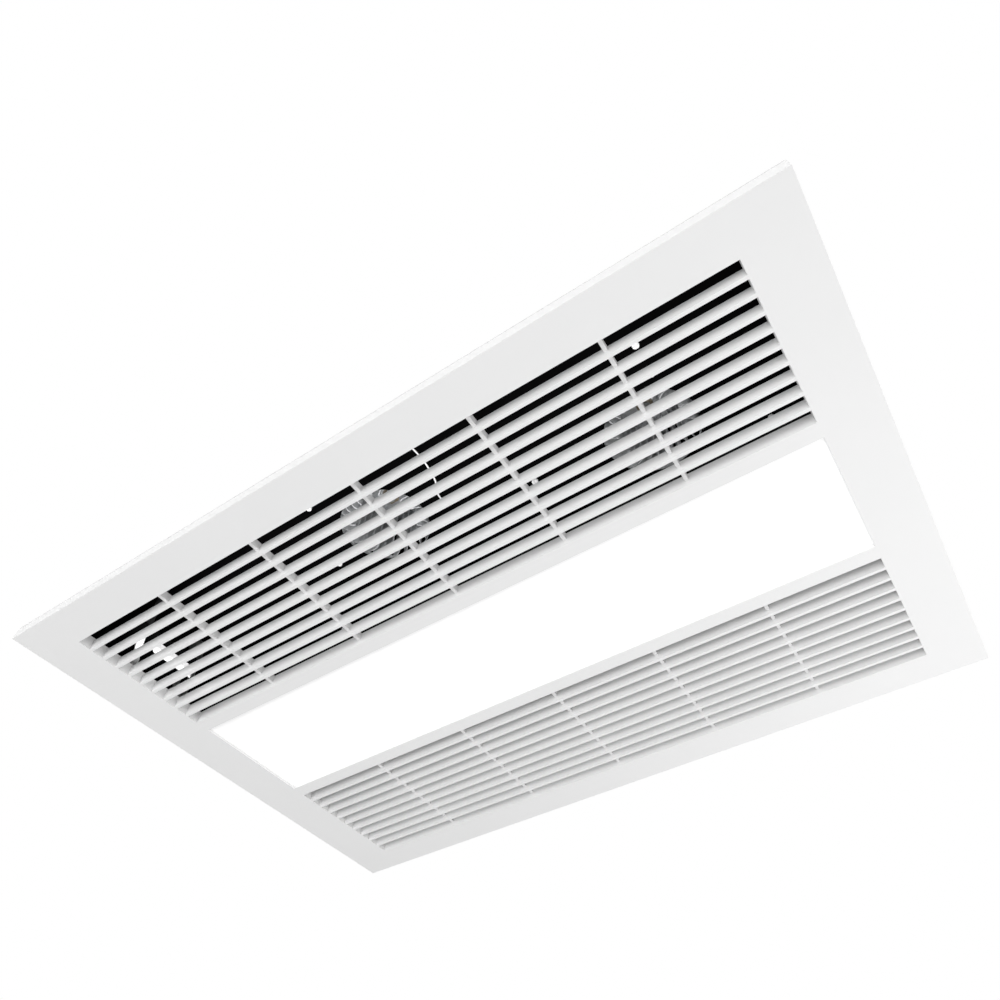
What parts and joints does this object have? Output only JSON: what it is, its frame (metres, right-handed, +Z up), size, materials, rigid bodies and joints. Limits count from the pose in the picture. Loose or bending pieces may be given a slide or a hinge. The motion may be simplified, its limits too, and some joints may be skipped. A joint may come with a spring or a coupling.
{
  "type": "bathroom heater exhaust fan",
  "caption": "Flush ceiling bathroom fan with a white fascia, two slatted grilles, a lit panel between them, warm-air and exhaust blowers and a side duct spigot.",
  "frame": {"origin": "centre of the four ceiling screw holes, on the ceiling plane that the housing flange rests against", "axes": "+Z up into the ceiling, +X along the long side towards the duct spigot, +Y towards the warm-air grille"},
  "size_m": [0.608, 0.4, 0.202],
  "materials": {
    "white_abs": "satin moulded ABS",
    "seal_foam": "closed-cell foam",
    "zinc_steel": "zinc-plated steel",
    "housing_steel": "galvanised outside, painted black inside",
    "deck_black": "matt black paint",
    "opal": "opal diffuser, lit from behind",
    "tray_white": "white paint inside, black outside",
    "board_white": "white solder mask",
    "led_yellow": "phosphor",
    "black_plastic": "moulded",
    "impeller_steel": "galvanised steel",
    "motor_steel": "galvanised steel",
    "stator_copper": "lacquered windings",
    "bronze": "sintered bronze",
    "frame_ivory": "heat-resistant moulding",
    "fin_aluminium": "bare",
    "tab_brass": "tinned brass",
    "spigot_grey": "moulded polypropylene",
    "flap_grey": "moulded",
    "can_aluminium": "drawn can",
    "nylon_white": "nylon",
    "lead_white": "PVC sheath",
    "screw_white": "white heads under the deck, zinc above it"
  },
  "bodies": {
    "housing": {"hanger_screws": "zinc_steel", "friction_washers": "black_plastic", "housing_shell": "housing_steel", "end_panel_left": "housing_steel", "end_panel_right": "housing_steel", "blower_deck": "deck_black", "upper_partition": "housing_steel", "lower_divider": "deck_black", "housing_screws": "zinc_steel", "deck_screws": "screw_white", "light_tray": "tray_white", "led_boards": "board_white", "led_chips": "led_yellow", "diffuser": "opal", "diffuser_pins": "zinc_steel", "led_driver": "black_plastic", "heater_scroll": "deck_black", "heater_motor_shell": "motor_steel", "heater_motor_cap": "motor_steel", "heater_stator": "stator_copper", "heater_bushes": "bronze", "exhaust_scroll": "deck_black", "exhaust_motor_shell": "motor_steel", "exhaust_motor_cap": "motor_steel", "exhaust_stator": "stator_copper", "exhaust_bushes": "bronze", "ptc_frame": "frame_ivory", "ptc_fins": "fin_aluminium", "ptc_bars": "fin_aluminium", "ptc_terminals": "tab_brass", "thermal_cutout": "black_plastic", "duct_spigot": "spigot_grey", "flap_pin": "zinc_steel", "terminal_box": "black_plastic", "terminal_block": "frame_ivory", "cable_gland": "black_plastic", "capacitor": "can_aluminium", "capacitor_clip": "zinc_steel", "connector_bracket": "deck_black", "light_connector": "nylon_white", "light_lead": "lead_white", "lead_sleeve": "black_plastic", "sensor_lead": "lead_white", "lead_clips": "black_plastic"},
    "front_cover": {"fascia": "white_abs", "fascia_seal": "seal_foam", "hanger_strap_left_near": "zinc_steel", "hanger_strap_left_far": "zinc_steel", "hanger_strap_right_near": "zinc_steel", "hanger_strap_right_far": "zinc_steel", "strap_screws": "zinc_steel"},
    "heater_wheel": {"heater_shaft": "zinc_steel", "heater_rotor": "motor_steel", "heater_impeller": "impeller_steel", "heater_nut": "bronze"},
    "exhaust_wheel": {"exhaust_shaft": "zinc_steel", "exhaust_rotor": "motor_steel", "exhaust_impeller": "impeller_steel", "exhaust_nut": "bronze"},
    "flap": {"backdraft_flap": "flap_grey"}
  },
  "joints": [
    {"name": "fascia_slide", "type": "slide", "parent": "housing", "child": "front_cover", "axis": [0, 0, -1], "range_m": [0, 0.045]},
    {"name": "heater_spin", "type": "hinge", "parent": "housing", "child": "heater_wheel", "pos_m": [-0.05, -0.09, 0.1], "axis": [0, 0, 1], "continuous": true},
    {"name": "exhaust_spin", "type": "hinge", "parent": "housing", "child": "exhaust_wheel", "pos_m": [0.157, -0.054, 0.1], "axis": [0, 0, 1], "continuous": true},
    {"name": "flap_swing", "type": "hinge", "parent": "housing", "child": "flap", "pos_m": [0.272, -0.09475, 0.131], "axis": [0, -1, 0], "range_deg": [0, 75]}
  ]
}
